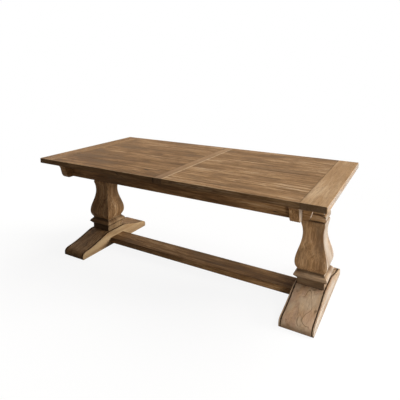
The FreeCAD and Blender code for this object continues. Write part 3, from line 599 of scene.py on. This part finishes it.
# Bleached share of a piece, and the share of painted light on its right side
bleached_and_lit_timbers = {
    "foot_left": (0.0, 0.66), "foot_right": (0.58, 0.84),
    "base_block_left": (0.0, 0.35), "base_block_right": (0.30, 0.75),
    "shaft_right": (0.08, 0.75), "capital_right": (0.05, 0.65), "bearer_right": (0.0, 0.70),
    "rail_front": (0.0, 0.45), "rail_rear": (0.0, 0.45)}

# Height of the moulding's undercut over a block's underside
undercut_rise = 0.024

# Feet: how far in from a side its groove runs, and how lively the grain is
groove_inset = 0.0105
foot_contrast = 0.75


def dirt_and_shade_levels(node):
    """Levels on a pedestal's pieces where painted shade and some dirt gather, each with its reach and
    how dark it is.
    """
    low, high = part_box(node)
    if node.startswith("foot"):
        return ((low.z, 0.045, 0.62),)
    if node.startswith("base_block"):
        return (low.z, 0.009, 0.90), (low.z + undercut_rise, 0.055, 0.80), (high.z, 0.020, 0.85)
    if node.startswith(("shaft", "capital")):
        return (low.z, 0.008, 0.70), (high.z, 0.005, 0.60)
    return ()


for node, (grain, tone) in timbers.items():
    heart = tuple(middle(node) + Vector(draw.uniform(-0.12, 0.12, 3)))
    lean = draw.uniform(-0.03, 0.03), draw.uniform(-0.03, 0.03)
    wood = start_oak(node, grain, heart, lean)
    contrast = 1.0
    # Painted shade, with some dirt, in the hollows
    dirt_and_shade_in_hollows(wood)
    # Painted shade and some dirt round the levels of the pedestal's pieces
    for level, reach, dark in dirt_and_shade_levels(node):
        dirt_and_shade_at_level(wood, level, reach, dark)
    if node.startswith("foot"):
        contrast = foot_contrast
        low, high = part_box(node)
        dark_groove_smear(wood, low.x + groove_inset)
        dark_groove_smear(wood, high.x - groove_inset)
        curling_cracks(wood)
    # Right sides get a painted lit colour for the light from the right: tan on the left pieces, grey
    # elsewhere
    painted_lit_colour = painted_lit_side_tan if node.endswith("left") else painted_lit_side_grey
    bleached = bleached_and_lit_timbers.get(node)
    ring = draw.uniform(0.005, 0.008)
    dress(node, finish_oak(wood, ring, tone, contrast, bleached, painted_lit_colour))

# Ironwork and the leaf's hinges
steel = metal("dull steel", colour=(0.42, 0.41, 0.39, 1.0), tarnish=(0.19, 0.17, 0.15, 1.0),
              low_roughness=0.34, high_roughness=0.62)
brass = metal("old brass", colour=(0.62, 0.43, 0.19, 1.0), tarnish=(0.30, 0.20, 0.09, 1.0),
              low_roughness=0.28, high_roughness=0.55)
metal_nodes = {
    "tie_rods": steel, "tie_rod_washers": steel, "tie_rod_nuts": steel, "frame_screws": steel,
    "left_top_screws": steel, "right_top_screws": steel,
    "left_lock_plates": steel, "left_lock_screws": steel,
    "right_keepers": steel, "right_keeper_screws": steel,
    "lock_arm_front": steel, "lock_arm_rear": steel,
    "leaf_hinge_lower_plates": brass, "leaf_hinge_upper_plates": brass,
    "leaf_hinge_pins": brass, "leaf_hinge_screws": brass}
for node, finish in metal_nodes.items():
    dress(node, finish)


# Floor, backdrop and light


def seen(tree):
    """One for rays that show the background, straight, in a gloss or through glass."""
    path = put(tree, "LightPath").outputs
    return sums(tree, "MAXIMUM", path["Is Camera Ray"],
                sums(tree, "MAXIMUM", path["Is Glossy Ray"], path["Is Transmission Ray"]))


def add_floor():
    """Large disc a hair under the feet. It is level in the middle, and past the level radius it goes up
    with the square of the distance."""
    level_radius = 7.0
    outer_radius = 14.0
    rise = 0.02
    drop = 0.0002
    radii = np.linspace(1.0, outer_radius, 27)
    turns = np.linspace(0.0, 2 * np.pi, 65)[:-1]
    radius, angle = np.meshgrid(radii, turns, indexing="ij")
    height = rise * np.maximum(radius - level_radius, 0.0) ** 2 - drop
    points = np.stack((radius * np.cos(angle), radius * np.sin(angle), height), -1).reshape(-1, 3)
    points = np.vstack((points, ((0.0, 0.0, -drop),)))
    count = len(turns)
    first = np.arange(count)
    after = (first + 1) % count
    inner = count * np.arange(len(radii) - 1)[:, None]
    outer = inner + count
    quads = np.stack((inner + first, outer + first, outer + after, inner + after), -1)
    centre = np.full(count, len(points) - 1)
    faces = quads.reshape(-1, 4).tolist() + np.stack((centre, first, after), -1).tolist()
    mesh = bpy.data.meshes.new("floor")
    mesh.from_pydata(points.tolist(), [], faces)
    mesh.update()
    floor = bpy.data.objects.new("floor", mesh)
    bpy.context.scene.collection.objects.link(floor)
    mesh.materials.append(floor_finish())


def floor_finish():
    """Matt floor, warm brown for the light that it throws back. Where it is seen it is pale, and goes
    over into plain white away from the table."""
    material, tree, shader = new_material("pale floor")
    shade = mixed(tree, seen(tree), (0.30, 0.26, 0.22, 1.0), (0.95, 0.95, 0.95, 1.0))
    tree.links.new(shade, shader.inputs["Base Color"])
    shader.inputs["Roughness"].default_value = 0.9
    shader.inputs["Specular IOR Level"].default_value = 0.1
    reach = arrows(tree, "MULTIPLY", put(tree, "TexCoord").outputs["Object"], (1.0, 1.0, 0.0))
    distance = put(tree, "VectorMath", (reach,), operation="LENGTH").outputs["Value"]
    white_share = ramp_between(tree, distance, 1.2, 3.6, start=0.89)
    white_share = sums(tree, "MULTIPLY", seen(tree), white_share)
    white = put(tree, "Emission", {"Strength": 1.0})
    blend = put(tree, "MixShader", (white_share, shader.outputs[0], white.outputs[0]))
    tree.links.new(blend.outputs[0], tree.nodes["Material Output"].inputs[0])
    return material


def add_lamp(name, place, target, size, power, colour, kind="AREA", spread=180.0):
    """Soft lamp aimed at a target. A sun's size is the angle that it fills, in radians; the spread is in
    degrees."""
    data = bpy.data.lights.new(name, kind)
    if kind == "SUN":
        data.angle = size
    else:
        data.shape = "DISK"
        data.size = size
        data.spread = math.radians(spread)
    data.energy = power
    data.color = colour
    lamp = bpy.data.objects.new(name, data)
    lamp.location = place
    lamp.rotation_mode = "QUATERNION"
    lamp.rotation_quaternion = (Vector(target) - Vector(place)).to_track_quat("-Z", "Y")
    bpy.context.scene.collection.objects.link(lamp)


def add_world(strength):
    """Even room light of the given strength, seen as plain white."""
    world = bpy.data.worlds.new("white room")
    world.use_nodes = True
    bpy.context.scene.world = world
    tree = world.node_tree
    tree.nodes.clear()
    ambient = put(tree, "Background", {"Color": (1.0, 0.96, 0.91, 1.0), "Strength": strength})
    white = put(tree, "Background", {"Color": (1.0, 1.0, 1.0, 1.0), "Strength": 1.0})
    blend = put(tree, "MixShader", (seen(tree), ambient.outputs[0], white.outputs[0]))
    output = put(tree, "OutputWorld")
    tree.links.new(blend.outputs[0], output.inputs[0])


def add_camera():
    """Camera at the photograph's place, with its frame shifted to the photograph's centre."""
    data = bpy.data.cameras.new("camera")
    data.sensor_fit = "HORIZONTAL"
    data.sensor_width = sensor_width
    data.lens = focal_pixels / image_size * sensor_width
    data.shift_x = (image_size / 2 - centre_pixel[0]) / image_size
    data.shift_y = (centre_pixel[1] - image_size / 2) / image_size
    camera = bpy.data.objects.new("camera", data)
    back = Vector((math.sin(camera_azimuth) * math.cos(camera_pitch),
                   -math.cos(camera_azimuth) * math.cos(camera_pitch), math.sin(camera_pitch)))
    right = Vector((math.cos(camera_azimuth), math.sin(camera_azimuth), 0.0))
    turn = Matrix((right, back.cross(right), back)).transposed().to_4x4()
    camera.matrix_world = Matrix.Translation(camera_place) @ turn
    bpy.context.scene.collection.objects.link(camera)
    bpy.context.scene.camera = camera


daylight = (1.0, 0.98, 0.95)
low_sun = (1.0, 0.97, 0.92)
add_floor()
add_lamp("sky from the back right", place=(1.2, 1.0, 2.4), target=(0.0, 0.0, 0.0),
         size=0.8, power=2.1, colour=daylight, kind="SUN")
add_lamp("low light from the right", place=(1.0, 0.45, 0.30), target=(0.0, 0.0, 0.0),
         size=0.35, power=3.0, colour=low_sun, kind="SUN")
add_lamp("window right", place=(3.4, 0.1, 0.8), target=(0.9, 0.0, 0.3),
         size=1.2, power=16.0, colour=daylight)
add_lamp("window front right", place=(1.9, -2.1, 0.5), target=(0.88, 0.0, 0.12),
         size=0.8, power=2.9, colour=daylight, spread=46.0)
add_lamp("weak light from the left", place=(-3.4, 0.9, 0.9), target=(-0.9, 0.0, 0.35),
         size=1.6, power=14.0, colour=daylight)
add_world(strength=0.205)
add_camera()
bpy.context.scene.view_settings.view_transform = "Standard"
